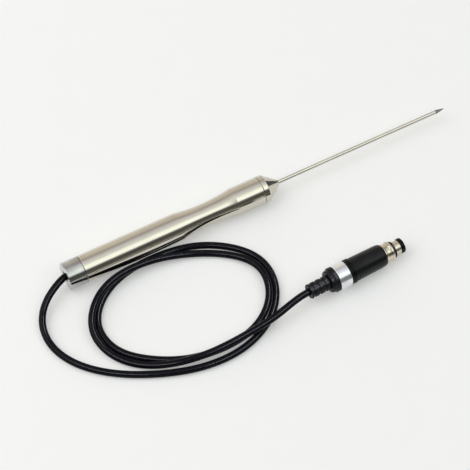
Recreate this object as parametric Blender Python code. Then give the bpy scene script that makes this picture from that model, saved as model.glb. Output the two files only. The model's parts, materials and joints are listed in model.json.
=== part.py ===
"""Hand probe of a grain moisture meter: a waisted steel handle with a needle, its cable and plug.

The lengths below are in millimetres, and the meshes are made in metres. +X runs along the probe
towards its point, +Z is up, and the origin is on the table under the middle of the probe.
Round pieces are turned outlines of (distance along the axis, radius). Handle pieces measure from
the rear face of the end cap, plug pieces from the rear face of the bend relief.
"""
import math

import bmesh
import bpy
import numpy as np
from mathutils import Euler, Vector

MM = 0.001
GAP = 0.3                      # between pieces that meet

# probe and handle
TOTAL_LENGTH = 304.0
HANDLE_R = 10.0
HANDLE_BORE_R = 7.0
SPIGOT_BORE_R = 8.4            # counterbore at both ends of the handle tube
SPIGOT_R = 8.05
SEAL_GROOVE_R = 6.6
EDGE = 0.3                     # small chamfers beside the joints
CAP_LENGTH = 12.5
CAP_SPIGOT_END = 23.5
NOSE_START = 152.1
NOSE_SPIGOT_START = 143.0
CONE_START = 155.7
CONE_END = 166.3
CONE_END_R = 2.1
WAIST_START = 87.0
WAIST_END = 131.0
WAIST_R = 8.15                 # smallest outer radius of the handle
NEEDLE_R = 1.5
NEEDLE_BORE_R = 1.0
NEEDLE_START = 147.0
POINT_LENGTH = 7.0
GROMMET_R = 3.7

# circuit board in the handle
BOARD_START, BOARD_END = 33.0, 98.0
BOARD_HALF_WIDTH = 5.9
BOARD_BOTTOM, BOARD_TOP = -1.0, 0.6

# cable
CABLE_R = 2.5
CABLE_REST = 2.55              # height of the cable's middle where it lies on the table
CORE_R = 2.4                   # the cable's jacket inside the housings
CABLE_BORE_R = 2.8

# plug
BOOT_R, BOOT_GROOVE_R, BOOT_END = 5.3, 4.5, 15.1
NUT_START, NUT_END, NUT_R = 15.4, 20.8, 9.05
RING_START, RING_END, RING_R = 21.1, 30.2, 9.3
COLLAR_START, COLLAR_END = 30.5, 34.8
SLEEVE_START, SLEEVE_END = 36.6, 60.4
SLEEVE_R, SLEEVE_FRONT_R, SLEEVE_FRONT = 8.6, 8.25, 56.5
SLEEVE_BORE_R = 7.0
SHELL_START, SHELL_END, SHELL_R, SHELL_BORE_R = 28.4, 73.6, 5.0, 3.95
SHELL_FLANGE_END = 34.3
SHOULDER_START, SHOULDER_END = 46.6, 50.0
COUPLING_START, COUPLING_END, COUPLING_R = 52.0, 67.0, 6.95
PIN_COUNT, PIN_CIRCLE_R, PIN_R = 5, 2.1, 0.5
PIN_TIP = 71.2
INSERT_START, INSERT_END, INSERT_R = 57.0, 67.0, 3.6

# The plug lies on the silver ring and on the sleeve's front end, so it points slightly down.
PLUG_TILT = math.asin((RING_R - SLEEVE_FRONT_R) / (SLEEVE_FRONT - (RING_END - EDGE)))
PLUG_TURN = math.radians(3.2)
PLUG_HEIGHT = RING_R * math.cos(PLUG_TILT) + (RING_END - EDGE) * math.sin(PLUG_TILT)
PLUG_START = (-10.2, -89.2, PLUG_HEIGHT)

# The cable leaves the end cap turned a little towards the front and down.
CABLE_LEAVES = (-0.95, -0.26, -0.17)
# The middle line of the cable as it lies on the table, from the end cap to the plug. It passes
# over itself twice: beside the handle, and where it leaves the loops towards the plug.
CABLE_ROUTE = [
    (-153.1, 0, 10), (-161.4, -3.7, 9.4), (-171.3, -9.9, 6.9), (-179.6, -20.6, 4),
    (-182.2, -38, CABLE_REST), (-175.3, -57.3, CABLE_REST), (-158.5, -75.6, CABLE_REST),
    (-131.4, -91.9, CABLE_REST), (-99.8, -102.5, CABLE_REST), (-67, -102.7, CABLE_REST),
    (-40.9, -90.7, CABLE_REST), (-25, -68.1, CABLE_REST), (-24.9, -46.7, CABLE_REST),
    (-39.1, -27.6, CABLE_REST), (-61.9, -14.8, CABLE_REST), (-88, -10.6, CABLE_REST),
    (-112.2, -12.6, CABLE_REST), (-133.4, -22.3, CABLE_REST), (-147.4, -42.3, CABLE_REST),
    (-144.3, -63.5, CABLE_REST), (-128.4, -80.2, CABLE_REST), (-105.4, -92.2, CABLE_REST),
    (-78.1, -96.4, 2.6), (-52.6, -92, 4), (-33.8, -75.7, 5.2), (-29.4, -52.1, 4.7), (-43.8, -32.3, 3),
    (-64.5, -20.9, 3.5), (-86.7, -15.1, 6), (-106.9, -14, 8), (-126.8, -17.3, 8.2),
    (-144.3, -28.8, 7.1), (-153.2, -47.3, 5.3), (-149.5, -65.3, 3.4), (-135.3, -82.2, 3.5),
    (-113.7, -93.4, 6), (-88.1, -98, 7.7), (-62.1, -97.4, 8.7), (-37.4, -94.3, 9.2),
]

# colour, metallic, roughness
FINISHES = {
    "polished_steel": ((0.80, 0.78, 0.74, 1), 1.0, 0.12),
    "needle_steel": ((0.74, 0.73, 0.71, 1), 1.0, 0.22),
    "ground_steel": ((0.42, 0.41, 0.40, 1), 1.0, 0.40),
    "nickel": ((0.80, 0.74, 0.62, 1), 1.0, 0.20),
    "silver_ring": ((0.86, 0.87, 0.89, 1), 1.0, 0.35),
    "brass": ((0.78, 0.60, 0.28, 1), 1.0, 0.30),
    "spring_steel": ((0.60, 0.60, 0.60, 1), 1.0, 0.30),
    "black_sleeve": ((0.015, 0.015, 0.018, 1), 0.0, 0.45),
    "black_plastic": ((0.013, 0.013, 0.015, 1), 0.0, 0.35),
    "black_rubber": ((0.010, 0.010, 0.011, 1), 0.0, 0.50),
    "cable_jacket": ((0.008, 0.008, 0.010, 1), 0.0, 0.22),
    "board_green": ((0.03, 0.22, 0.08, 1), 0.0, 0.40),
    "terminal_grey": ((0.30, 0.32, 0.34, 1), 0.0, 0.45),
    "lead_jacket": ((0.75, 0.74, 0.70, 1), 0.0, 0.45),
}


def clear_scene():
    for thing in list(bpy.data.objects):
        bpy.data.objects.remove(thing, do_unlink=True)


def finish_piece(piece, finish, parent):
    """Link the piece, give it its own material and place it under its axis."""
    colour, metallic, roughness = FINISHES[finish]
    material = bpy.data.materials.new(piece.name + "_" + finish)
    material.use_nodes = True
    shader = material.node_tree.nodes["Principled BSDF"]
    shader.inputs["Base Color"].default_value = colour
    shader.inputs["Metallic"].default_value = metallic
    shader.inputs["Roughness"].default_value = roughness
    piece.data.materials.append(material)
    piece.parent = parent
    bpy.context.collection.objects.link(piece)
    return piece


def axis_empty(name, place, turn):
    """An empty whose local X is the axis of the pieces under it."""
    empty = bpy.data.objects.new(name, None)
    empty.location = Vector(place) * MM
    empty.rotation_euler = Euler(turn)
    bpy.context.collection.objects.link(empty)
    return empty


def mesh_object(name, shape):
    bmesh.ops.recalc_face_normals(shape, faces=shape.faces)
    mesh = bpy.data.meshes.new(name)
    shape.to_mesh(mesh)
    shape.free()
    return bpy.data.objects.new(name, mesh)


def turned(name, outline, finish, parent, segments=32):
    """Spin an outline about X. One that starts and ends on the axis is solid, others are rings."""
    shape = bmesh.new()
    verts = [shape.verts.new((x * MM, 0, r * MM)) for x, r in outline]
    edges = [shape.edges.new(pair) for pair in zip(verts, verts[1:])]
    if outline[0][1] > 0:
        edges.append(shape.edges.new((verts[-1], verts[0])))
    bmesh.ops.spin(shape, geom=verts + edges, cent=(0, 0, 0), axis=(1, 0, 0), dvec=(0, 0, 0),
                   angle=2 * math.pi, steps=segments, use_merge=True)
    bmesh.ops.remove_doubles(shape, verts=shape.verts, dist=1e-6)
    piece = mesh_object(name, shape)
    piece.data.shade_smooth()
    piece.data.set_sharp_from_angle(angle=math.radians(30))
    return finish_piece(piece, finish, parent)


def ring(name, start, end, inner, outer, finish, parent, segments=24, chamfer=0.0):
    """A plain ring or bush, with its outer edges chamfered."""
    outline = [(start, inner), (start, outer - chamfer)]
    if chamfer:
        outline += [(start + chamfer, outer), (end - chamfer, outer)]
    outline += [(end, outer - chamfer), (end, inner)]
    return turned(name, outline, finish, parent, segments)


def rod(name, start, end, radius, finish, parent, segments=12):
    """A plain round bar."""
    outline = [(start, 0), (start, radius), (end, radius), (end, 0)]
    return turned(name, outline, finish, parent, segments)


def block(name, low, high, finish, parent):
    """A box between two corners."""
    shape = bmesh.new()
    bmesh.ops.create_cube(shape, size=1)
    low, high = Vector(low) * MM, Vector(high) * MM
    for vert in shape.verts:
        vert.co = Vector((low[i] + (vert.co[i] + 0.5) * (high[i] - low[i]) for i in range(3)))
    return finish_piece(mesh_object(name, shape), finish, parent)


def round_wire(name, points, radius, sides, finish, parent):
    """A tube along a list of points."""
    curve = bpy.data.curves.new(name, "CURVE")
    curve.dimensions = "3D"
    curve.bevel_depth = radius * MM
    curve.bevel_resolution = sides // 2 - 2
    curve.use_fill_caps = True
    line = curve.splines.new("POLY")
    line.points.add(len(points) - 1)
    for point, place in zip(line.points, points):
        point.co = (*(Vector(place) * MM), 1)
    return finish_piece(bpy.data.objects.new(name, curve), finish, parent)


def waist(steps):
    """The handle's waist: one arc through both ends and the narrowest place."""
    half = (WAIST_END - WAIST_START) / 2
    middle = (WAIST_START + WAIST_END) / 2
    depth = HANDLE_R - WAIST_R
    arc_r = (half ** 2 + depth ** 2) / (2 * depth)
    points = []
    for i in range(steps + 1):
        x = -half + 2 * half * i / steps
        points.append((middle + x, WAIST_R + arc_r - math.sqrt(arc_r ** 2 - x ** 2)))
    return points


def make_probe(axis):
    """The needle, its point, and what it holds."""
    point_start = TOTAL_LENGTH - POINT_LENGTH
    ring("probe_tube", NEEDLE_START, point_start - GAP, NEEDLE_BORE_R, NEEDLE_R, "needle_steel", axis, 16)
    spigot_r = NEEDLE_BORE_R - GAP
    outline = [(point_start - 5, 0), (point_start - 5, spigot_r), (point_start, spigot_r),
               (point_start, NEEDLE_R), (point_start + 0.6, NEEDLE_R - 0.05),
               (TOTAL_LENGTH - 0.3, 0.22), (TOTAL_LENGTH, 0)]
    turned("probe_tip", outline, "ground_steel", axis, 16)
    rod("sensor_element", point_start - 13, point_start - 5 - GAP, spigot_r, "brass", axis, 10)
    lead = [(96.3, 0, 2.6), (103, 0, 2.5), (112, 0, 1.8), (122, 0, 0.8), (132, 0, 0.15),
            (140, 0, 0), (point_start - 13 - GAP, 0, 0)]
    round_wire("sensor_lead", lead, 0.5, 6, "lead_jacket", axis)
    ring("needle_ferrule", 145, 151, NEEDLE_R + GAP, 3.2, "brass", axis, 16)


def make_nose(axis):
    """The conical nose, its spigot and the seal on it."""
    bore_r = NEEDLE_R + 0.35
    outline = [
        (NOSE_SPIGOT_START, 3.5), (NOSE_SPIGOT_START, SPIGOT_R - EDGE),
        (NOSE_SPIGOT_START + EDGE, SPIGOT_R), (146, SPIGOT_R), (146, SEAL_GROOVE_R),
        (148.4, SEAL_GROOVE_R), (148.4, SPIGOT_R), (NOSE_START, SPIGOT_R),
        (NOSE_START, HANDLE_R - EDGE), (NOSE_START + EDGE, HANDLE_R), (CONE_START, HANDLE_R),
        (CONE_START + 0.25, HANDLE_R - 0.25), (CONE_END, CONE_END_R), (CONE_END, bore_r),
        (151.4, bore_r), (151.4, 3.5),
    ]
    turned("nose_cone", outline, "polished_steel", axis, 40)
    ring("nose_seal", 146.4, 148, 6.9, 8.1, "black_rubber", axis, 24, 0.3)


def make_handle_tube(axis):
    tube_start, tube_end = CAP_LENGTH + GAP, NOSE_START - GAP
    outline = [(tube_start, SPIGOT_BORE_R), (tube_start, HANDLE_R - EDGE), (tube_start + EDGE, HANDLE_R)]
    outline += waist(12)
    outline += [
        (tube_end - EDGE, HANDLE_R), (tube_end, HANDLE_R - EDGE), (tube_end, SPIGOT_BORE_R),
        (NOSE_SPIGOT_START - 0.5, SPIGOT_BORE_R), (NOSE_SPIGOT_START - 0.5, HANDLE_BORE_R),
        (CAP_SPIGOT_END + 0.5, HANDLE_BORE_R), (CAP_SPIGOT_END + 0.5, SPIGOT_BORE_R),
    ]
    turned("handle_tube", outline, "polished_steel", axis, 40)


def make_end_cap(axis):
    """The rear cap with its seal, the cable's bush and the crimp behind it."""
    hole_r, pocket_r, pocket_start = GROMMET_R + GAP, 5.4, 6.5
    outline = [
        (0, hole_r), (0, HANDLE_R - 0.5), (0.5, HANDLE_R), (CAP_LENGTH - EDGE, HANDLE_R),
        (CAP_LENGTH, HANDLE_R - EDGE), (CAP_LENGTH, SPIGOT_R), (15.4, SPIGOT_R),
        (15.4, SEAL_GROOVE_R), (17.8, SEAL_GROOVE_R), (17.8, SPIGOT_R),
        (CAP_SPIGOT_END - EDGE, SPIGOT_R), (CAP_SPIGOT_END, SPIGOT_R - EDGE),
        (CAP_SPIGOT_END, pocket_r), (pocket_start, pocket_r), (pocket_start, hole_r),
    ]
    turned("end_cap", outline, "polished_steel", axis, 40)
    ring("end_cap_seal", 15.8, 17.4, 6.9, 8.1, "black_rubber", axis, 24, 0.3)
    flange = pocket_start + GAP
    bush = [(0, CABLE_BORE_R), (0, GROMMET_R), (flange, GROMMET_R), (flange, 4.9),
            (flange + 2, 4.9), (flange + 2, CABLE_BORE_R)]
    turned("cable_grommet", bush, "black_rubber", axis, 24)
    rod("inner_cable", GAP, 26, CORE_R, "cable_jacket", axis, 16)
    ring("crimp_ferrule", 10, 16, CABLE_BORE_R, 3.9, "silver_ring", axis, 16)


def make_electronics(axis):
    """The circuit board on its cradle, with the parts and leads on it."""
    shape = bmesh.new()
    cradle_r, cut = HANDLE_BORE_R - 0.4, BOARD_BOTTOM - GAP
    half = math.acos(cut / -cradle_r)
    section = []
    for i in range(13):
        angle = -math.pi / 2 - half + 2 * half * i / 12
        place = Vector((BOARD_START, cradle_r * math.cos(angle), cradle_r * math.sin(angle)))
        section.append(shape.verts.new(place * MM))
    face = shape.faces.new(section)
    made = bmesh.ops.extrude_face_region(shape, geom=[face])
    top = [item for item in made["geom"] if isinstance(item, bmesh.types.BMVert)]
    bmesh.ops.translate(shape, vec=((BOARD_END - BOARD_START) * MM, 0, 0), verts=top)
    finish_piece(mesh_object("board_carrier", shape), "black_plastic", axis)

    block("circuit_board", (BOARD_START, -BOARD_HALF_WIDTH, BOARD_BOTTOM),
          (BOARD_END, BOARD_HALF_WIDTH, BOARD_TOP), "board_green", axis)
    seat = BOARD_TOP + GAP
    block("amplifier_chip", (60, -3.2, seat), (68, 3.2, seat + 1.6), "black_plastic", axis)
    block("rear_terminal", (35, -4, seat), (42, 4, seat + 3.4), "terminal_grey", axis)
    block("front_terminal", (89, -4, seat), (96, 4, seat + 3.4), "terminal_grey", axis)
    leads = [(26.3, 0, 0), (28, 0, 0.2), (30.5, 0, 1.6), (33, 0, 2.7), (34.7, 0, 2.8)]
    round_wire("board_leads", leads, 1.2, 8, "lead_jacket", axis)


def make_cable_clamp(axis):
    """The plug's rear: bend relief, gland nut, collet, seal and silver ring."""
    boot = [(0, CABLE_BORE_R), (0, BOOT_R - 0.4), (0.4, BOOT_R)]
    for middle in (2.3, 6.7, 11.2):
        boot += [(middle - 0.95, BOOT_R), (middle - 0.55, BOOT_GROOVE_R),
                 (middle + 0.55, BOOT_GROOVE_R), (middle + 0.95, BOOT_R)]
    boot += [(BOOT_END, BOOT_R), (BOOT_END, 4.65), (17.6, 4.65), (17.6, CABLE_BORE_R)]
    turned("plug_boot", boot, "black_rubber", axis, 24)

    nut = [(NUT_START, 5.0)]
    shoulder_start, shoulder_length = 6.6, 3.2
    for i in range(6):
        angle = math.pi / 2 * i / 5
        nut.append((NUT_START + shoulder_length * (1 - math.cos(angle)),
                    shoulder_start + (NUT_R - shoulder_start) * math.sin(angle)))
    nut += [(NUT_END - EDGE, NUT_R), (NUT_END, NUT_R - EDGE), (NUT_END, 7.2), (18, 7.2), (18, 5.0)]
    turned("gland_nut", nut, "black_plastic", axis)

    ring("cable_collet", 18.6, 24.4, CABLE_BORE_R, 4.2, "brass", axis, 16, 0.4)
    ring("gland_seal", 24.7, 27.2, CABLE_BORE_R, 5.3, "black_rubber", axis, 20, 0.3)
    stem_r, bore_r, pocket_start = 6.9, 5.7, 28.0
    shell = [(18.3, bore_r), (18.3, stem_r), (RING_START, stem_r), (RING_START, RING_R - EDGE),
             (RING_START + EDGE, RING_R), (RING_END - EDGE, RING_R), (RING_END, RING_R - EDGE),
             (RING_END, 7.4), (pocket_start, 7.4), (pocket_start, bore_r)]
    turned("back_shell", shell, "silver_ring", axis)
    rod("plug_cable_end", GAP, 27.6, CORE_R, "cable_jacket", axis, 16)


def make_collar(axis):
    """The short grooved collar, with a pocket that the sleeve's skirt slides in."""
    groove = 32.6
    outline = [
        (COLLAR_START, 7.4), (COLLAR_START, NUT_R - 0.2), (COLLAR_START + 0.2, NUT_R),
        (groove - 0.4, NUT_R), (groove - 0.25, NUT_R - 0.25), (groove + 0.25, NUT_R - 0.25),
        (groove + 0.4, NUT_R), (COLLAR_END - 0.2, NUT_R), (COLLAR_END, NUT_R - 0.2),
        (COLLAR_END, 8.45), (31.5, 8.45), (31.5, 7.4),
    ]
    turned("rear_collar", outline, "black_plastic", axis)


def make_sleeve(axis):
    """The sliding sleeve, with a skirt behind, a spring chamber and a shoulder inside."""
    skirt_start, skirt_inner, skirt_r = 33.4, 7.85, 8.15
    front_bore_r = COUPLING_R + 0.35
    outline = [
        (skirt_start, skirt_inner), (skirt_start, skirt_r), (SLEEVE_START, skirt_r),
        (SLEEVE_START, SLEEVE_R - 0.2), (SLEEVE_START + 0.2, SLEEVE_R), (45, SLEEVE_R - 0.12),
        (SLEEVE_FRONT, SLEEVE_FRONT_R), (58.4, 8.1), (59.7, 7.85), (SLEEVE_END, 7.6),
        (SLEEVE_END, front_bore_r), (SHOULDER_END, front_bore_r), (SHOULDER_END, SHELL_R + 0.35),
        (SHOULDER_START, SHELL_R + 0.35), (SHOULDER_START, SLEEVE_BORE_R),
        (SLEEVE_START + 0.6, SLEEVE_BORE_R), (SLEEVE_START + 0.6, skirt_inner),
    ]
    turned("release_sleeve", outline, "black_sleeve", axis, 36)


def make_spring(axis):
    """The return spring round the shell, between its flange and the sleeve's shoulder."""
    coil_r, wire_r, turns, per_turn = 6.1, 0.35, 5, 14
    start = SHELL_FLANGE_END + GAP + wire_r
    end = SHOULDER_START - GAP - wire_r
    points = []
    for i in range(turns * per_turn + 1):
        angle = 2 * math.pi * i / per_turn
        x = start + (end - start) * i / (turns * per_turn)
        points.append((x, coil_r * math.cos(angle), coil_r * math.sin(angle)))
    round_wire("return_spring", points, wire_r, 6, "spring_steel", axis)


def make_shell(axis):
    """The plug's metal shell and the rings on its front."""
    outline = [
        (SHELL_START, SHELL_BORE_R), (SHELL_START, 7.0), (SHELL_FLANGE_END, 7.0),
        (SHELL_FLANGE_END, SHELL_R), (SHELL_END - 0.2, SHELL_R), (SHELL_END, SHELL_R - 0.2),
        (SHELL_END, SHELL_BORE_R),
    ]
    turned("plug_shell", outline, "nickel", axis)
    ring("stop_ring", SHOULDER_END + GAP, 51.6, SHELL_R + GAP, 6.6, "spring_steel", axis, 20)
    lip = COUPLING_END - 1.5
    coupling = [
        (COUPLING_START, SHELL_R + GAP), (COUPLING_START, COUPLING_R), (lip - 0.6, COUPLING_R),
        (lip - 0.4, COUPLING_R - 0.25), (lip, COUPLING_R - 0.25), (lip, COUPLING_R + 0.05),
        (lip + 0.2, COUPLING_R + 0.25), (COUPLING_END - 0.2, COUPLING_R + 0.25),
        (COUPLING_END, COUPLING_R + 0.05), (COUPLING_END, SHELL_R + GAP),
    ]
    turned("coupling_ring", coupling, "nickel", axis)
    ring("shell_o_ring", COUPLING_END + GAP, 69.1, SHELL_R + GAP, 6.2, "black_rubber", axis, 24, 0.4)
    ring("front_seal", SHELL_END + GAP, 76.7, SHELL_BORE_R, 5.45, "black_rubber", axis, 24, 0.5)


def make_contacts(axis):
    """The insert with its pins, and the leads soldered to them."""
    insert = rod("pin_insert", INSERT_START, INSERT_END, INSERT_R, "black_plastic", axis, 24)
    holes = bmesh.new()
    for i in range(PIN_COUNT):
        angle = 2 * math.pi * i / PIN_COUNT
        y, z = PIN_CIRCLE_R * math.cos(angle), PIN_CIRCLE_R * math.sin(angle)
        hole = bmesh.ops.create_cone(holes, cap_ends=True, segments=12, radius1=(PIN_R + 0.35) * MM,
                                     radius2=(PIN_R + 0.35) * MM, depth=20 * MM)
        bmesh.ops.rotate(holes, verts=hole["verts"], matrix=Euler((0, math.pi / 2, 0)).to_matrix())
        middle = (INSERT_START + INSERT_END) / 2
        bmesh.ops.translate(holes, verts=hole["verts"], vec=Vector((middle, y, z)) * MM)

        pin_axis = axis_empty("contact_axis_%d" % (i + 1), (0, y, z), (0, 0, 0))
        pin_axis.parent = axis
        cup_start, cup_end = 53.8, INSERT_START - GAP
        outline = [(cup_start, 0), (cup_start, 0.8), (cup_end, 0.8), (cup_end, PIN_R),
                   (PIN_TIP - 0.4, PIN_R), (PIN_TIP, 0.2), (PIN_TIP, 0)]
        turned("contact_pin_%d" % (i + 1), outline, "brass", pin_axis, 8)
    cutter = mesh_object("pin_holes", holes)
    cutter.hide_render = True
    cutter.display_type = "WIRE"
    cutter.parent = axis
    bpy.context.collection.objects.link(cutter)
    cut = insert.modifiers.new("pin_holes", "BOOLEAN")
    cut.object = cutter
    cut.operation = "DIFFERENCE"
    cut.solver = "EXACT"
    rod("plug_leads", 27.9, 53.5, 1.8, "lead_jacket", axis, 12)


def smooth_curve(points, start_direction, end_direction):
    """A cubic spline through the points, as a function of the distance along their chords."""
    places = np.array(points, dtype=float)
    spans = np.linalg.norm(np.diff(places, axis=0), axis=1)
    knots = np.concatenate([[0.0], np.cumsum(spans)])
    count = len(places)
    left, right = np.zeros((count, count)), np.zeros((count, 3))
    left[0, 0] = left[-1, -1] = 1.0
    right[0], right[-1] = start_direction, end_direction
    for i in range(1, count - 1):
        before, after = spans[i - 1], spans[i]
        left[i, i - 1:i + 2] = after, 2 * (before + after), before
        right[i] = 3 * (after * (places[i] - places[i - 1]) / before
                        + before * (places[i + 1] - places[i]) / after)
    slopes = np.linalg.solve(left, right)

    def at(distance):
        i = int(np.clip(np.searchsorted(knots, distance) - 1, 0, count - 2))
        u = (distance - knots[i]) / spans[i]
        place = (places[i] * (2 * u ** 3 - 3 * u ** 2 + 1) + places[i + 1] * (3 * u ** 2 - 2 * u ** 3)
                 + spans[i] * (slopes[i] * (u ** 3 - 2 * u ** 2 + u) + slopes[i + 1] * (u ** 3 - u ** 2)))
        place[2] = max(place[2], CABLE_REST)
        return place

    return at, knots[-1]


def make_cable(plug_axis):
    """The cable's plain tube along its route, with short straight ends."""
    turn = plug_axis.rotation_euler.to_matrix()
    direction = np.array(turn @ Vector((1, 0, 0)))
    end = np.array(PLUG_START) - GAP * direction
    at, length = smooth_curve(CABLE_ROUTE + [tuple(end)], CABLE_LEAVES, direction)
    straight, pieces = 3.0, 75
    distances = [0.0, straight]
    distances += [straight + (length - 2 * straight) * i / pieces for i in range(1, pieces + 1)]
    distances += [length]
    points = [at(distance) for distance in distances]
    round_wire("cable", points, CABLE_R, 10, "cable_jacket", None)


def build():
    clear_scene()
    handle_axis = axis_empty("handle_axis", (-TOTAL_LENGTH / 2, 0, HANDLE_R), (0, 0, 0))
    make_probe(handle_axis)
    make_nose(handle_axis)
    make_handle_tube(handle_axis)
    make_end_cap(handle_axis)
    make_electronics(handle_axis)
    plug_axis = axis_empty("plug_axis", PLUG_START, (0, PLUG_TILT, PLUG_TURN))
    make_cable_clamp(plug_axis)
    make_collar(plug_axis)
    make_sleeve(plug_axis)
    make_spring(plug_axis)
    make_shell(plug_axis)
    make_contacts(plug_axis)
    make_cable(plug_axis)


build()
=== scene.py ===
"""The looks of a grain moisture meter's hand probe, with its cable and plug.

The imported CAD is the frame. Every piece that shows is turned again here with fine rounded edges and
many segments, and gets a material made of nodes. Round pieces are made about their own X axis: the
handle's pieces measure from the end cap's rear face, and the plug's from the bend relief's rear face.
Their outlines are in millimetres.
"""
import json
import math

import bpy
import numpy as np
from mathutils import Matrix, Vector

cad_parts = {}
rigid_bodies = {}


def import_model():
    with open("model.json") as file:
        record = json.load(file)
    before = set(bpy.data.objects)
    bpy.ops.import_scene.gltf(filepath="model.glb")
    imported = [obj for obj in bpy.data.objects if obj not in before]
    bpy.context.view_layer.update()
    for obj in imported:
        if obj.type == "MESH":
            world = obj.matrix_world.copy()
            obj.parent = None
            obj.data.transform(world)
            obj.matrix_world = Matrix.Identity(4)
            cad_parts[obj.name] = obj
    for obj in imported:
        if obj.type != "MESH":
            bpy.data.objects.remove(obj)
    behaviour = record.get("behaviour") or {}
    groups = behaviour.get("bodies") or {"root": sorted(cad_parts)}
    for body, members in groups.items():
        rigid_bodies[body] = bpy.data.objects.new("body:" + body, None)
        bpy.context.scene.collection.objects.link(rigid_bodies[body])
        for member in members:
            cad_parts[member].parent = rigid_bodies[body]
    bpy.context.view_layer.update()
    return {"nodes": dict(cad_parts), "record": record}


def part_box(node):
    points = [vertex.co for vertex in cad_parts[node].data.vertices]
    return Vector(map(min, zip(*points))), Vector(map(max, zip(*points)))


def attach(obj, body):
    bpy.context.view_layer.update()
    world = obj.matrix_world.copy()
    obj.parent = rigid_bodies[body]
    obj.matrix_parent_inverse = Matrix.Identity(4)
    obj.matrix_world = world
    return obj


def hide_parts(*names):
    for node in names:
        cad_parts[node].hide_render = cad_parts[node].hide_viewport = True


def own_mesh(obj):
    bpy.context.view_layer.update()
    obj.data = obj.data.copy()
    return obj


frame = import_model()

MM = 0.001
SLOTS = {part["node"]: part["material_slot"] for part in frame["record"]["subparts"]}
BODIES = {node: body for body, nodes in frame["record"]["behaviour"]["bodies"].items() for node in nodes}

# the camera, as the photographer stood
CAMERA_TARGET = Vector((-0.0302, -0.0192, 0))
CAMERA_DISTANCE = 1.305
CAMERA_ELEVATION = math.radians(58)
CAMERA_TURN = math.radians(-27.97)
CAMERA_LENS = 142.1

# the cable
CABLE_DIAMETER = 0.005
CABLE_REST = 0.00255
CABLE_START_IN_BUSH = (-0.1515, 0, 0.010)
CABLE_LEAVES = (-0.95, -0.26, -0.17)
CABLE_ROUTE = [
    (-0.1531, 0, 0.01), (-0.1614, -0.0037, 0.0094), (-0.1713, -0.0099, 0.0069),
    (-0.1796, -0.0206, 0.004), (-0.1822, -0.038, CABLE_REST), (-0.1753, -0.0573, CABLE_REST),
    (-0.1585, -0.0756, CABLE_REST), (-0.1314, -0.0919, CABLE_REST), (-0.0998, -0.1025, CABLE_REST),
    (-0.067, -0.1027, CABLE_REST), (-0.0409, -0.0907, CABLE_REST), (-0.025, -0.0681, CABLE_REST),
    (-0.0249, -0.0467, CABLE_REST), (-0.0391, -0.0276, CABLE_REST), (-0.0619, -0.0148, CABLE_REST),
    (-0.088, -0.0106, CABLE_REST), (-0.1122, -0.0126, CABLE_REST), (-0.1334, -0.0223, CABLE_REST),
    (-0.1474, -0.0423, CABLE_REST), (-0.1443, -0.0635, CABLE_REST), (-0.1284, -0.0802, CABLE_REST),
    (-0.1054, -0.0922, CABLE_REST), (-0.0781, -0.0964, 0.0026), (-0.0526, -0.092, 0.004),
    (-0.0338, -0.0757, 0.0052), (-0.0294, -0.0521, 0.0047), (-0.0438, -0.0323, 0.003),
    (-0.0645, -0.0209, 0.0035), (-0.0867, -0.0151, 0.006), (-0.1069, -0.014, 0.008),
    (-0.1268, -0.0173, 0.0082), (-0.1443, -0.0288, 0.0071), (-0.1532, -0.0473, 0.0053),
    (-0.1495, -0.0653, 0.0034), (-0.1353, -0.0822, 0.0035), (-0.1137, -0.0934, 0.006),
    (-0.0881, -0.098, 0.0077), (-0.0621, -0.0974, 0.0087), (-0.0374, -0.0943, 0.0092),
]


# ---------------------------------------------------------------- places


def middle(node):
    low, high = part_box(node)
    return (low + high) / 2


def handle_place():
    """The frame of the handle's pieces: its X is their axis, from the end cap's rear face."""
    low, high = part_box("end_cap")
    return Matrix.Translation((low.x, (low.y + high.y) / 2, (low.z + high.z) / 2))


def plug_place():
    """The frame of the plug's pieces. Its axis runs through the middles of two of its rings."""
    rear_at, front_at = 25.95 * MM, 75.3 * MM
    rear, front = middle("gland_seal"), middle("front_seal")
    axis = (front - rear).normalized()
    side = Vector((0, 0, 1)).cross(axis).normalized()
    turn = Matrix((axis, side, axis.cross(side))).transposed().to_4x4()
    start = (rear - axis * rear_at + front - axis * front_at) / 2
    return Matrix.Translation(start) @ turn


HANDLE = handle_place()
PLUG = plug_place()


# ---------------------------------------------------------------- shapes


def filleted(points, closed, steps=5):
    """The outline with its corners rounded. A point is (x, r), or (x, r, radius of its corner)."""
    count = len(points)
    made = []
    for i, point in enumerate(points):
        here = np.array(point[:2], dtype=float)
        inner = closed or 0 < i < count - 1
        if len(point) < 3 or not inner:
            made.append(tuple(here))
            continue
        before = np.array(points[i - 1][:2], dtype=float) - here
        after = np.array(points[(i + 1) % count][:2], dtype=float) - here
        lengths = np.linalg.norm(before), np.linalg.norm(after)
        before, after = before / lengths[0], after / lengths[1]
        half = math.acos(float(np.clip(before @ after, -1, 1))) / 2
        back = min(point[2] / math.tan(half), 0.48 * min(lengths))
        radius = back * math.tan(half)
        towards = (before + after) / np.linalg.norm(before + after)
        centre = here + towards * radius / math.sin(half)
        first, last = here + before * back - centre, here + after * back - centre
        sweep = math.pi - 2 * half
        sign = math.copysign(1, first[0] * last[1] - first[1] * last[0])
        for k in range(steps + 1):
            angle = sign * sweep * k / steps
            cos, sin = math.cos(angle), math.sin(angle)
            made.append(tuple(centre + (first[0] * cos - first[1] * sin, first[0] * sin + first[1] * cos)))
    return made


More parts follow.
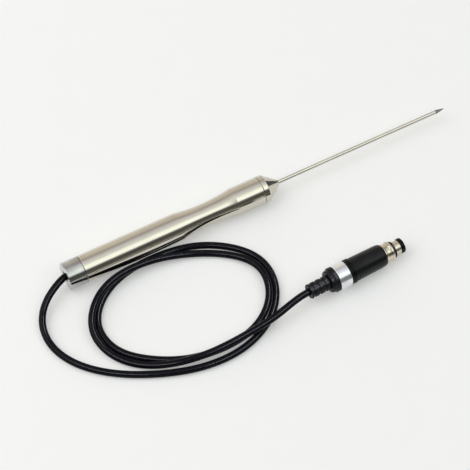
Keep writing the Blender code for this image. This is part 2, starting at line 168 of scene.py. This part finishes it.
def turned_mesh(name, outline, segments, radius_at=None):
    """Spins an outline in millimetres about X into one closed mesh. radius_at(x, r, angle) may carve it."""
    closed = outline[0][1] > 0
    verts, rows = [], []
    for x, r in outline:
        if r <= 0:
            rows.append([len(verts)] * segments)
            verts.append((x * MM, 0, 0))
            continue
        rows.append(list(range(len(verts), len(verts) + segments)))
        for k in range(segments):
            angle = 2 * math.pi * k / segments
            rr = radius_at(x, r, angle) if radius_at else r
            verts.append((x * MM, rr * MM * math.cos(angle), rr * MM * math.sin(angle)))
    pairs = list(zip(rows, rows[1:] + rows[:1])) if closed else list(zip(rows, rows[1:]))
    faces = []
    for one, two in pairs:
        for k in range(segments):
            n = (k + 1) % segments
            corners = [one[k], one[n], two[n], two[k]]
            faces.append(tuple(dict.fromkeys(corners)))
    mesh = bpy.data.meshes.new(name)
    mesh.from_pydata(verts, [], [face for face in faces if len(face) > 2])
    outward_faces(mesh)
    return mesh


def outward_faces(mesh):
    """Turns every face outward, by the sign of the mesh's volume."""
    mesh.calc_loop_triangles()
    co = np.array([v.co for v in mesh.vertices])
    tri = np.array([t.vertices for t in mesh.loop_triangles])
    a, b, c = co[tri[:, 0]], co[tri[:, 1]], co[tri[:, 2]]
    if (np.cross(a, b) * c).sum() < 0:
        mesh.flip_normals()


def smooth(mesh, sharp_degrees=32, sharp_at=()):
    """Smooth shading, with sharp edges by angle and on the rings at the given places along X."""
    mesh.shade_smooth()
    mesh.set_sharp_from_angle(angle=math.radians(sharp_degrees))
    if not sharp_at:
        return
    xs = np.array([v.co.x for v in mesh.vertices]) / MM
    for edge in mesh.edges:
        one, two = xs[edge.vertices[0]], xs[edge.vertices[1]]
        if abs(one - two) < 1e-4 and any(abs(one - x) < 1e-3 for x in sharp_at):
            edge.use_edge_sharp = True


def place(name, data, place_matrix, look, node, weighted=True):
    """Puts a piece in the frame, in the stead of its CAD node, with the given look and that node's body."""
    piece = bpy.data.objects.new(name, data)
    bpy.context.scene.collection.objects.link(piece)
    piece.matrix_world = place_matrix
    data.materials.append(look)
    if weighted:
        normals = piece.modifiers.new("face_weighted_normals", "WEIGHTED_NORMAL")
        normals.keep_sharp = True
    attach(piece, BODIES[node])
    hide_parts(node)
    return piece


def turned(node, place_matrix, points, look, segments=96, steps=5, sharp_at=(), radius_at=None):
    """A fine turned piece that stands for a CAD node."""
    outline = filleted(points, closed=points[0][1] > 0, steps=steps)
    name = "fine_" + node
    mesh = turned_mesh(name, outline, segments, radius_at)
    smooth(mesh, sharp_at=sharp_at)
    return place(name, mesh, place_matrix, look, node)


# ---------------------------------------------------------------- materials


class Nodes:
    """A material's node tree, with short calls to add and join nodes."""

    def __init__(self, name):
        self.material = bpy.data.materials.new(name)
        self.material.use_nodes = True
        self.tree = self.material.node_tree
        self.shader = self.tree.nodes["Principled BSDF"]
        self.object_place = self.tree.nodes.new("ShaderNodeTexCoord").outputs["Object"]

    def set(self, **values):
        for name, value in values.items():
            self.shader.inputs[name.replace("_", " ")].default_value = value

    def join(self, output, node, socket):
        self.tree.links.new(output, node.inputs[socket])

    def feed(self, output, socket):
        self.tree.links.new(output, self.shader.inputs[socket])

    def noise(self, scale, stretch=(1, 1, 1), detail=3.0, roughness=0.55):
        """Noise over the piece. A stretch under 1 draws it out along that axis."""
        mapping = self.tree.nodes.new("ShaderNodeMapping")
        mapping.inputs["Scale"].default_value = stretch
        self.join(self.object_place, mapping, "Vector")
        node = self.tree.nodes.new("ShaderNodeTexNoise")
        node.inputs["Scale"].default_value = scale
        node.inputs["Detail"].default_value = detail
        node.inputs["Roughness"].default_value = roughness
        self.join(mapping.outputs["Vector"], node, "Vector")
        return node.outputs["Fac"]

    def ranged(self, value, low, high, to_low, to_high):
        node = self.tree.nodes.new("ShaderNodeMapRange")
        limits = {"From Min": low, "From Max": high, "To Min": to_low, "To Max": to_high}
        for socket, number in limits.items():
            node.inputs[socket].default_value = number
        self.join(value, node, "Value")
        return node.outputs["Result"]

    def mixed(self, factor, one, two):
        node = self.tree.nodes.new("ShaderNodeMix")
        node.data_type = "RGBA"
        self.tree.links.new(factor, node.inputs["Factor"])
        for socket, colour in ((6, one), (7, two)):
            if isinstance(colour, tuple):
                node.inputs[socket].default_value = (*colour, 1)
            else:
                self.tree.links.new(colour, node.inputs[socket])
        return node.outputs[2]

    def maths(self, operation, one, two):
        node = self.tree.nodes.new("ShaderNodeMath")
        node.operation = operation
        for socket, value in enumerate((one, two)):
            if isinstance(value, (int, float)):
                node.inputs[socket].default_value = value
            else:
                self.tree.links.new(value, node.inputs[socket])
        return node.outputs["Value"]

    def bumped(self, height, strength, distance):
        node = self.tree.nodes.new("ShaderNodeBump")
        node.inputs["Strength"].default_value = strength
        node.inputs["Distance"].default_value = distance
        self.join(height, node, "Height")
        self.feed(node.outputs["Normal"], "Normal")


def metal(name, tint, shade, roughness, streak=0.03, rings=2600, ring_depth=0.00001, waviness=0.0):
    """Turned metal: rings round its axis, long faint rub marks and soft stains in the tint."""
    nodes = Nodes(name)
    nodes.set(Metallic=1.0)
    stains = nodes.noise(90, detail=4)
    marks = nodes.noise(700, (0.06, 1, 1), detail=5)
    lathe_rings = nodes.noise(rings, (1, 0.02, 0.02), detail=2)
    spread = nodes.ranged(nodes.maths("ADD", stains, marks), 0.75, 1.25, 0, 1)
    nodes.feed(nodes.mixed(spread, shade, tint), "Base Color")
    nodes.feed(nodes.ranged(marks, 0.35, 0.65, roughness, roughness + streak), "Roughness")
    height = lathe_rings
    if waviness:
        waves = nodes.maths("MULTIPLY", nodes.noise(160, (0.5, 1, 1)), waviness)
        height = nodes.maths("ADD", lathe_rings, waves)
    nodes.bumped(height, 0.5, ring_depth)
    return nodes.material


def moulded(name, colour, worn, roughness, grain=1800, depth=0.00002, specular=0.5):
    """Moulded plastic or rubber: a fine grain, and patches that are handled smoother and paler."""
    spread = 0.08
    nodes = Nodes(name)
    nodes.set(Specular_IOR_Level=specular)
    rubbed = nodes.noise(140, detail=4)
    skin = nodes.noise(grain, detail=4, roughness=0.65)
    nodes.feed(nodes.mixed(nodes.ranged(rubbed, 0.4, 0.68, 0, 1), colour, worn), "Base Color")
    nodes.feed(nodes.ranged(rubbed, 0.3, 0.7, roughness + spread, roughness - spread), "Roughness")
    nodes.bumped(skin, 0.6, depth)
    return nodes.material


def cable_jacket():
    """Glossy black jacket, with the slow ripple that an extruded jacket has and a little dust."""
    nodes = Nodes("cable_jacket")
    dust = nodes.noise(420, detail=5, roughness=0.7)
    ripple = nodes.noise(45, detail=1)
    dusty = nodes.ranged(dust, 0.5, 0.8, 0, 1)
    nodes.feed(nodes.mixed(dusty, (0.0015, 0.0015, 0.0025), (0.005, 0.005, 0.007)), "Base Color")
    nodes.feed(nodes.ranged(dust, 0.3, 0.7, 0.14, 0.18), "Roughness")
    nodes.set(Specular_IOR_Level=0.09)
    nodes.bumped(ripple, 0.3, 0.00006)
    return nodes.material


def board_look():
    """Solder mask over faint tracks."""
    nodes = Nodes("solder_mask")
    tracks = nodes.noise(500, (0.15, 1, 1), detail=1)
    on_track = nodes.ranged(tracks, 0.48, 0.52, 0, 1)
    nodes.feed(nodes.mixed(on_track, (0.012, 0.13, 0.04), (0.03, 0.24, 0.08)), "Base Color")
    nodes.feed(nodes.ranged(tracks, 0.45, 0.55, 0.30, 0.42), "Roughness")
    nodes.bumped(tracks, 0.4, 0.00004)
    return nodes.material


def make_looks():
    """One material for each slot of the record, and a brushed one for the end cap."""
    return {
        "polished_steel": metal("polished_steel", (0.67, 0.63, 0.55), (0.61, 0.57, 0.50), 0.07, 0.035),
        "brushed_cap": metal("brushed_cap", (0.58, 0.57, 0.54), (0.38, 0.38, 0.39), 0.08, 0.05,
                             rings=1500, ring_depth=0.00003, waviness=1.0),
        "needle_steel": metal("needle_steel", (0.74, 0.71, 0.65), (0.64, 0.61, 0.56), 0.04, 0.04,
                              ring_depth=0.000003),
        "ground_steel": metal("ground_steel", (0.34, 0.33, 0.31), (0.24, 0.23, 0.22), 0.34, 0.12,
                              rings=5200, ring_depth=0.00003),
        "nickel": metal("nickel", (0.76, 0.69, 0.56), (0.60, 0.53, 0.45), 0.15, 0.10,
                        rings=3400, ring_depth=0.00002, waviness=1.2),
        "silver_ring": metal("silver_ring", (0.95, 0.96, 0.98), (0.66, 0.68, 0.73), 0.22, 0.16,
                             rings=5200, ring_depth=0.00008, waviness=3.0),
        "brass": metal("brass", (0.75, 0.56, 0.24), (0.62, 0.45, 0.18), 0.22, 0.10),
        "spring_steel": metal("spring_steel", (0.55, 0.55, 0.54), (0.40, 0.40, 0.39), 0.26, 0.10),
        "black_sleeve": moulded("black_sleeve", (0.003, 0.0035, 0.005), (0.006, 0.007, 0.009), 0.30,
                                grain=2600, specular=0.24),
        "black_plastic": moulded("black_plastic", (0.002, 0.002, 0.003), (0.006, 0.006, 0.007), 0.28,
                                 grain=2200, depth=0.00003, specular=0.14),
        "black_rubber": moulded("black_rubber", (0.002, 0.002, 0.003), (0.005, 0.005, 0.006), 0.34,
                                grain=1500, depth=0.00004, specular=0.14),
        "cable_jacket": cable_jacket(),
        "board_green": board_look(),
        "terminal_grey": moulded("terminal_grey", (0.24, 0.26, 0.28), (0.32, 0.34, 0.36), 0.45),
        "lead_jacket": moulded("lead_jacket", (0.62, 0.61, 0.57), (0.72, 0.71, 0.66), 0.42),
    }


# ---------------------------------------------------------------- the handle


def waist(start, end, narrow, wide, steps):
    """Points of the waist's arc, between its two ends."""
    half, depth = (end - start) / 2, wide - narrow
    arc = (half ** 2 + depth ** 2) / (2 * depth)
    points = []
    for i in range(1, steps):
        x = -half + 2 * half * i / steps
        points.append(((start + end) / 2 + x, narrow + arc - math.sqrt(arc ** 2 - x ** 2)))
    return points


def make_handle(look):
    steel, rubber = look["polished_steel"], look["black_rubber"]
    turned("end_cap", HANDLE, [
        (0, 4.0, 0.15), (0, 10, 0.55), (12.5, 10, 0.22), (12.5, 8.05, 0.1), (15.4, 8.05), (15.4, 6.6),
        (17.8, 6.6), (17.8, 8.05), (23.5, 8.05, 0.3), (23.5, 5.4), (6.5, 5.4), (6.5, 4.0),
    ], look["brushed_cap"], segments=160)
    turned("cable_grommet", HANDLE, [
        (0, 2.6, 0.3), (0, 3.7, 0.3), (6.8, 3.7), (6.8, 4.9, 0.2), (8.8, 4.9, 0.2), (8.8, 2.8),
    ], rubber)
    kinks = (87.0, 131.0)
    turned("handle_tube", HANDLE, [
        (12.8, 8.4), (12.8, 10, 0.22), (kinks[0], 10),
        *waist(*kinks, 8.15, 10, 44),
        (kinks[1], 10), (151.8, 10, 0.2), (151.8, 8.4), (142.5, 8.4), (142.5, 7.0),
        (24.0, 7.0), (24.0, 8.4),
    ], steel, segments=192, sharp_at=kinks)
    turned("nose_cone", HANDLE, [
        (143.0, 3.5), (143.0, 8.05, 0.3), (146, 8.05), (146, 6.6), (148.4, 6.6), (148.4, 8.05),
        (152.1, 8.05, 0.1), (152.1, 10, 0.2), (155.75, 10, 0.35), (165.9, 2.35, 0.4), (166.3, 2.1, 0.15),
        (166.3, 1.85), (151.4, 1.85), (151.4, 3.5),
    ], steel, segments=160)


def make_needle(look):
    turned("probe_tube", HANDLE, [
        (147, 1.0), (147, 1.5, 0.1), (296.7, 1.5, 0.05), (296.7, 1.0),
    ], look["needle_steel"], segments=64)
    turned("probe_tip", HANDLE, [
        (292, 0), (292, 0.7), (297, 0.7), (297, 1.5, 0.05), (297.6, 1.44, 0.5),
        (303.5, 0.30, 0.4), (304, 0),
    ], look["ground_steel"], segments=64)


# ---------------------------------------------------------------- the plug


def make_plug_rear(look):
    boot = [(0, 2.6, 0.3), (0, 5.3, 0.5)]
    for groove in (2.3, 6.7, 11.2):
        boot += [(groove - 0.85, 5.3, 0.35), (groove - 0.6, 4.5, 0.2), (groove + 0.6, 4.5, 0.2),
                 (groove + 0.85, 5.3, 0.35)]
    boot += [(15.1, 5.3, 0.4), (15.1, 4.65), (17.6, 4.65), (17.6, 2.8)]
    turned("plug_boot", PLUG, boot, look["black_rubber"])
    turned("gland_nut", PLUG, [
        (15.4, 5.0, 0.15), (15.4, 7.9, 0.95), (17.35, 8.15, 0.45), (17.9, 8.0, 0.35), (18.5, 9.05, 0.7),
        (20.8, 9.05, 0.25), (20.8, 7.2), (18, 7.2), (18, 5.0),
    ], look["black_plastic"])
    turned("back_shell", PLUG, [
        (18.3, 5.7), (18.3, 6.9), (21.1, 6.9), (21.1, 9.3, 0.3), (30.2, 9.3, 0.3), (30.2, 7.4),
        (28.0, 7.4), (28.0, 5.7),
    ], look["silver_ring"], segments=128)
    turned("rear_collar", PLUG, [
        (30.5, 7.4), (30.5, 9.05, 0.2), (32.25, 9.05, 0.15), (32.4, 8.6, 0.1), (32.8, 8.6, 0.1),
        (32.95, 9.05, 0.15), (34.8, 9.05, 0.25), (34.8, 8.45, 0.1), (31.5, 8.45), (31.5, 7.4),
    ], look["black_plastic"])


def make_sleeve(look):
    turned("release_sleeve", PLUG, [
        (33.4, 7.85), (33.4, 8.15, 0.1), (36.6, 8.15, 0.1), (36.6, 8.6, 0.3), (45, 8.48, 40),
        (56.5, 8.25, 6), (59.2, 8.0, 1.6), (60.4, 7.55, 0.3), (60.4, 7.3), (50, 7.3), (50, 5.35),
        (46.6, 5.35), (46.6, 7.0), (37.2, 7.0), (37.2, 7.85),
    ], look["black_sleeve"], segments=128)


def make_spring(look):
    """The return spring, a coil of wire about the plug's axis."""
    coil_r, wire_r, turns, per_turn = 6.1 * MM, 0.35 * MM, 5, 36
    start, end, travel = 34.95 * MM, 45.95 * MM, 1.5 * MM
    curve = bpy.data.curves.new("fine_return_spring", "CURVE")
    curve.dimensions = "3D"
    curve.bevel_depth = wire_r
    curve.bevel_resolution = 4
    curve.use_fill_caps = True
    line = curve.splines.new("POLY")
    line.points.add(turns * per_turn)
    for i, point in enumerate(line.points):
        angle = 2 * math.pi * i / per_turn
        along = start + (end - start) * i / (turns * per_turn)
        point.co = (along, coil_r * math.cos(angle), coil_r * math.sin(angle), 1)
    shaped = bpy.data.objects.new("spring_curve", curve)
    mesh = bpy.data.meshes.new_from_object(shaped)
    mesh.name = "fine_return_spring"
    bpy.data.objects.remove(shaped)
    mesh.materials.clear()
    mesh.shade_smooth()
    piece = place("fine_return_spring", mesh, PLUG, look["spring_steel"], "return_spring", weighted=False)
    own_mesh(piece)


def make_plug_front(look):
    nickel, rubber = look["nickel"], look["black_rubber"]
    turned("plug_shell", PLUG, [
        (28.4, 3.95), (28.4, 7.0), (34.3, 7.0), (34.3, 5.0), (73.6, 5.0, 0.2), (73.6, 3.95, 0.15),
    ], nickel)
    turned("coupling_ring", PLUG, [
        (52, 5.3), (52, 6.95), (61.3, 6.95, 0.2), (61.9, 6.72, 0.3), (64.5, 6.72, 0.3), (65.0, 6.95, 0.15),
        (65.25, 6.75, 0.1), (65.45, 7.2, 0.3), (67, 7.2, 0.45), (67, 5.3, 0.1),
    ], nickel, segments=128)
    turned("shell_o_ring", PLUG, [
        (67.3, 5.3), (67.3, 6.2, 0.75), (69.1, 6.2, 0.75), (69.1, 5.3),
    ], rubber, steps=8)

    def keyed(x, r, angle):
        """Shallow slots across the front ring's rim."""
        slots, slot_share, depth, rim = 6, 0.16, 0.35, 75.6
        turn = (angle * slots / (2 * math.pi)) % 1
        return r - depth if x > rim and r > 5 and turn < slot_share else r

    turned("front_seal", PLUG, [
        (73.9, 3.95, 0.2), (73.9, 5.45, 0.45), (75.5, 5.45), (75.7, 5.45), (76.7, 5.45, 0.5),
        (76.7, 3.95, 0.3),
    ], rubber, radius_at=keyed)


def make_contacts(look):
    """The insert, with a bore for each pin, and the pins."""
    count, circle_r, bore_r = 5, 2.1, 0.85
    angles = [2 * math.pi * i / count for i in range(count)]
    pins = [(circle_r * math.cos(angle), circle_r * math.sin(angle)) for angle in angles]
    insert = turned("pin_insert", PLUG, [
        (57, 0), (57, 3.6, 0.2), (67, 3.6, 0.3), (67, 0),
    ], look["black_plastic"])
    for i, (y, z) in enumerate(pins):
        bore = turned_mesh("pin_bore_%d" % (i + 1), [(50, 0), (50, bore_r), (75, bore_r), (75, 0)], 24)
        bore.transform(Matrix.Translation((0, y * MM, z * MM)))
        cutter = bpy.data.objects.new(bore.name, bore)
        bpy.context.scene.collection.objects.link(cutter)
        cutter.matrix_world = PLUG
        cut = insert.modifiers.new("pin_bore", "BOOLEAN")
        cut.object = cutter
        cut.operation = "DIFFERENCE"
        cut.solver = "EXACT"
    keep_modified(insert)
    for i in range(count):
        bpy.data.objects.remove(bpy.data.objects["pin_bore_%d" % (i + 1)])

    for i, (y, z) in enumerate(pins):
        turned("contact_pin_%d" % (i + 1), PLUG @ Matrix.Translation((0, y * MM, z * MM)), [
            (53.8, 0), (53.8, 0.8, 0.1), (56.7, 0.8, 0.1), (56.7, 0.5), (71.2, 0.5, 0.3), (71.2, 0),
        ], look["brass"], segments=24)


def keep_modified(piece):
    """Makes what the modifiers give the piece's own mesh."""
    bpy.context.view_layer.update()
    seen = piece.evaluated_get(bpy.context.evaluated_depsgraph_get())
    mesh = bpy.data.meshes.new_from_object(seen)
    piece.modifiers.clear()
    piece.data = mesh


# ---------------------------------------------------------------- the cable


def smooth_curve(points, start_direction, end_direction):
    """A cubic spline through the points, as a function of the distance along their chords."""
    places = np.array(points, dtype=float)
    spans = np.linalg.norm(np.diff(places, axis=0), axis=1)
    knots = np.concatenate([[0.0], np.cumsum(spans)])
    count = len(places)
    # the slopes at the points, from one linear system: the curve bends evenly through each
    left, right = np.zeros((count, count)), np.zeros((count, 3))
    left[0, 0] = left[-1, -1] = 1.0
    right[0], right[-1] = start_direction, end_direction
    for i in range(1, count - 1):
        before, after = spans[i - 1], spans[i]
        left[i, i - 1:i + 2] = after, 2 * (before + after), before
        right[i] = 3 * (after * (places[i] - places[i - 1]) / before
                        + before * (places[i + 1] - places[i]) / after)
    slopes = np.linalg.solve(left, right)

    def at(distance):
        i = int(np.clip(np.searchsorted(knots, distance) - 1, 0, count - 2))
        u = (distance - knots[i]) / spans[i]
        spot = (places[i] * (2 * u ** 3 - 3 * u ** 2 + 1) + places[i + 1] * (3 * u ** 2 - 2 * u ** 3)
                + spans[i] * (slopes[i] * (u ** 3 - 2 * u ** 2 + u) + slopes[i + 1] * (u ** 3 - u ** 2)))
        spot[2] = max(spot[2], CABLE_REST)
        return spot

    return at, knots[-1]


def make_cable(look):
    """One smooth tube along the route, which runs a little way into the bush and the boot."""
    axis = PLUG.to_3x3() @ Vector((1, 0, 0))
    gap, inside, count = 0.3 * MM, 0.25 * MM, 420
    end = PLUG @ Vector((-gap, 0, 0))
    at, length = smooth_curve(CABLE_ROUTE + [tuple(end)], CABLE_LEAVES, np.array(axis))
    points = [Vector(at(length * i / count)) for i in range(count + 1)]
    points.insert(0, Vector(CABLE_START_IN_BUSH))
    points.append(points[-1] + axis * (gap + inside))
    curve = bpy.data.curves.new("fine_cable", "CURVE")
    curve.dimensions = "3D"
    curve.bevel_depth = CABLE_DIAMETER / 2
    curve.bevel_resolution = 10
    curve.use_fill_caps = True
    line = curve.splines.new("POLY")
    line.points.add(len(points) - 1)
    for point, spot in zip(line.points, points):
        point.co = (*spot, 1)
    line.use_smooth = True
    return place("fine_cable", curve, Matrix.Identity(4), look["cable_jacket"], "cable", weighted=False)


# ---------------------------------------------------------------- the studio


def make_floor():
    bpy.ops.mesh.primitive_plane_add(size=16)
    floor = bpy.context.object
    floor.name = "floor"
    nodes = Nodes("pale_paper_with_painted_glow")
    fibres = nodes.noise(60, detail=3)
    nodes.feed(nodes.mixed(fibres, (0.69, 0.69, 0.688), (0.71, 0.71, 0.708)), "Base Color")
    # The floor's emission is a painted glow: the paper is no lamp, and the glow lifts the shadows cast on
    # it.
    nodes.set(Roughness=0.85, Emission_Color=(1, 0.99, 0.985, 1), Emission_Strength=0.26)
    floor.data.materials.append(nodes.material)


def make_camera():
    towards = Vector((
        math.cos(CAMERA_ELEVATION) * math.sin(CAMERA_TURN),
        -math.cos(CAMERA_ELEVATION) * math.cos(CAMERA_TURN),
        math.sin(CAMERA_ELEVATION),
    ))
    data = bpy.data.cameras.new("camera")
    data.lens = CAMERA_LENS
    data.sensor_width = 36
    data.clip_start = 0.01
    camera = bpy.data.objects.new("camera", data)
    camera.location = CAMERA_TARGET + towards * CAMERA_DISTANCE
    camera.rotation_euler = (math.pi / 2 - CAMERA_ELEVATION, 0, CAMERA_TURN)
    bpy.context.scene.collection.objects.link(camera)
    bpy.context.scene.camera = camera


def make_key_light():
    """A large soft light from the left and a little behind, which lays the shadows to the right."""
    direction, distance = Vector((-0.584, 0.280, 0.762)), 2.6
    data = bpy.data.lights.new("key_light", "AREA")
    data.shape = "DISK"
    data.size = 2.4
    data.energy = 22
    data.color = (1.0, 1.0, 1.0)
    light = bpy.data.objects.new("key_light", data)
    light.location = direction * distance
    light.rotation_euler = direction.to_track_quat("Z", "Y").to_euler()
    bpy.context.scene.collection.objects.link(light)


def make_strip_lights():
    """Three thin strip lights round the top, which light only the cable and the black pieces next to it."""
    lit = bpy.data.collections.new("cable_and_black_pieces")
    for node in ("cable", "plug_boot", "gland_nut", "shell_o_ring"):
        lit.objects.link(bpy.data.objects["fine_" + node])
    distance, elevation = 1.6, math.radians(58)
    for azimuth_degrees, energy in ((-152, 14), (-62, 17), (12, 22)):
        azimuth = math.radians(azimuth_degrees)
        along = Vector((-math.sin(azimuth), math.cos(azimuth), 0))
        flat = Vector((math.cos(azimuth), math.sin(azimuth), 0))
        direction = flat * math.cos(elevation) + Vector((0, 0, math.sin(elevation)))
        data = bpy.data.lights.new("strip_light", "AREA")
        data.shape = "RECTANGLE"
        data.size = 0.2
        data.size_y = 0.9
        data.energy = energy
        data.color = (0.90, 0.94, 1.0)
        light = bpy.data.objects.new("strip_light", data)
        light.location = direction * distance
        light.rotation_euler = Matrix((along.cross(direction), along, direction)).transposed().to_euler()
        light.light_linking.receiver_collection = lit
        bpy.context.scene.collection.objects.link(light)


def make_room():
    """The room that the metal mirrors: pale behind, dim in front, with a wide bright window overhead."""
    world = bpy.data.worlds.new("room")
    bpy.context.scene.world = world
    world.use_nodes = True
    tree = world.node_tree
    background = tree.nodes["Background"]

    def node(kind, **inputs):
        made = tree.nodes.new(kind)
        for name, value in inputs.items():
            socket = made.inputs[name.replace("_", " ")]
            if isinstance(value, bpy.types.NodeSocket):
                tree.links.new(value, socket)
            else:
                socket.default_value = value
        return made

    def maths(operation, one, two):
        made = tree.nodes.new("ShaderNodeMath")
        made.operation = operation
        for socket, value in zip(made.inputs, (one, two)):
            if isinstance(value, bpy.types.NodeSocket):
                tree.links.new(value, socket)
            else:
                socket.default_value = value
        return made.outputs[0]

    def ramp(value, stops):
        made = tree.nodes.new("ShaderNodeValToRGB")
        tree.links.new(value, made.inputs["Fac"])
        elements = made.color_ramp.elements
        while len(elements) < len(stops):
            elements.new(0.5)
        for element, (position, colour) in zip(elements, stops):
            element.position = position
            element.color = (*colour, 1)
        return made.outputs["Color"]

    def mix(factor, one, two):
        made = tree.nodes.new("ShaderNodeMix")
        made.data_type = "RGBA"
        for socket, value in ((0, factor), (6, one), (7, two)):
            if isinstance(value, bpy.types.NodeSocket):
                tree.links.new(value, made.inputs[socket])
            else:
                made.inputs[socket].default_value = (*value, 1)
        return made.outputs[2]

    def smooth_step(value, low, high):
        made = node("ShaderNodeMapRange", Value=value, From_Min=low, From_Max=high)
        made.interpolation_type = "SMOOTHSTEP"
        return made.outputs["Result"]

    direction = tree.nodes.new("ShaderNodeTexCoord").outputs["Generated"]
    parts = node("ShaderNodeSeparateXYZ", Vector=direction)
    x, y, z = (parts.outputs[axis] for axis in "XYZ")
    # the angle from straight up towards the front, in the plane across the handle
    angle = maths("ARCTAN2", maths("MULTIPLY", y, -1.0), z)
    degrees = maths("MULTIPLY", angle, 180 / math.pi)
    around = maths("DIVIDE", maths("ADD", degrees, 180.0), 360.0)

    def at(value):
        return (value + 180) / 360

    room = ramp(around, [
        (at(-90), (0.78, 0.74, 0.63)), (at(-62), (0.76, 0.72, 0.61)), (at(-51), (0.62, 0.58, 0.51)),
        (at(-40), (0.50, 0.46, 0.44)), (at(-31), (0.58, 0.56, 0.57)), (at(-13), (0.83, 0.85, 0.87)),
        (at(8), (0.95, 1.00, 0.97)), (at(36), (0.70, 0.72, 0.72)), (at(54), (0.15, 0.15, 0.15)),
        (at(62), (0.08, 0.08, 0.08)), (at(71), (0.11, 0.11, 0.10)), (at(86), (0.18, 0.18, 0.15)),
    ])
    window = maths("MULTIPLY", smooth_step(degrees, 0.0, 24.0), smooth_step(degrees, 51.0, 36.0))
    window = maths("MULTIPLY", window, smooth_step(x, -0.07, 0.05))
    dark_side = smooth_step(x, 0.62, 0.85)
    window_colour, side_colour = (1.50, 1.60, 1.50), (0.10, 0.10, 0.10)
    colour = mix(dark_side, mix(window, room, window_colour), side_colour)
    tree.links.new(colour, background.inputs["Color"])
    background.inputs["Strength"].default_value = 1.0


def make_studio():
    make_camera()
    make_floor()
    make_key_light()
    make_room()
    bpy.context.scene.view_settings.view_transform = "Standard"


# ---------------------------------------------------------------- all of it


def finish_cad_nodes(look):
    """The CAD nodes that stay in place, inside the handle and the plug, get their slot's material."""
    for node, piece in frame["nodes"].items():
        if piece.hide_render:
            continue
        piece.data.materials.clear()
        piece.data.materials.append(look[SLOTS[node]])


make_studio()
looks = make_looks()
cable_piece = make_cable(looks)
make_handle(looks)
make_needle(looks)
make_plug_rear(looks)
make_sleeve(looks)
make_spring(looks)
make_plug_front(looks)
make_contacts(looks)
finish_cad_nodes(looks)
make_strip_lights()
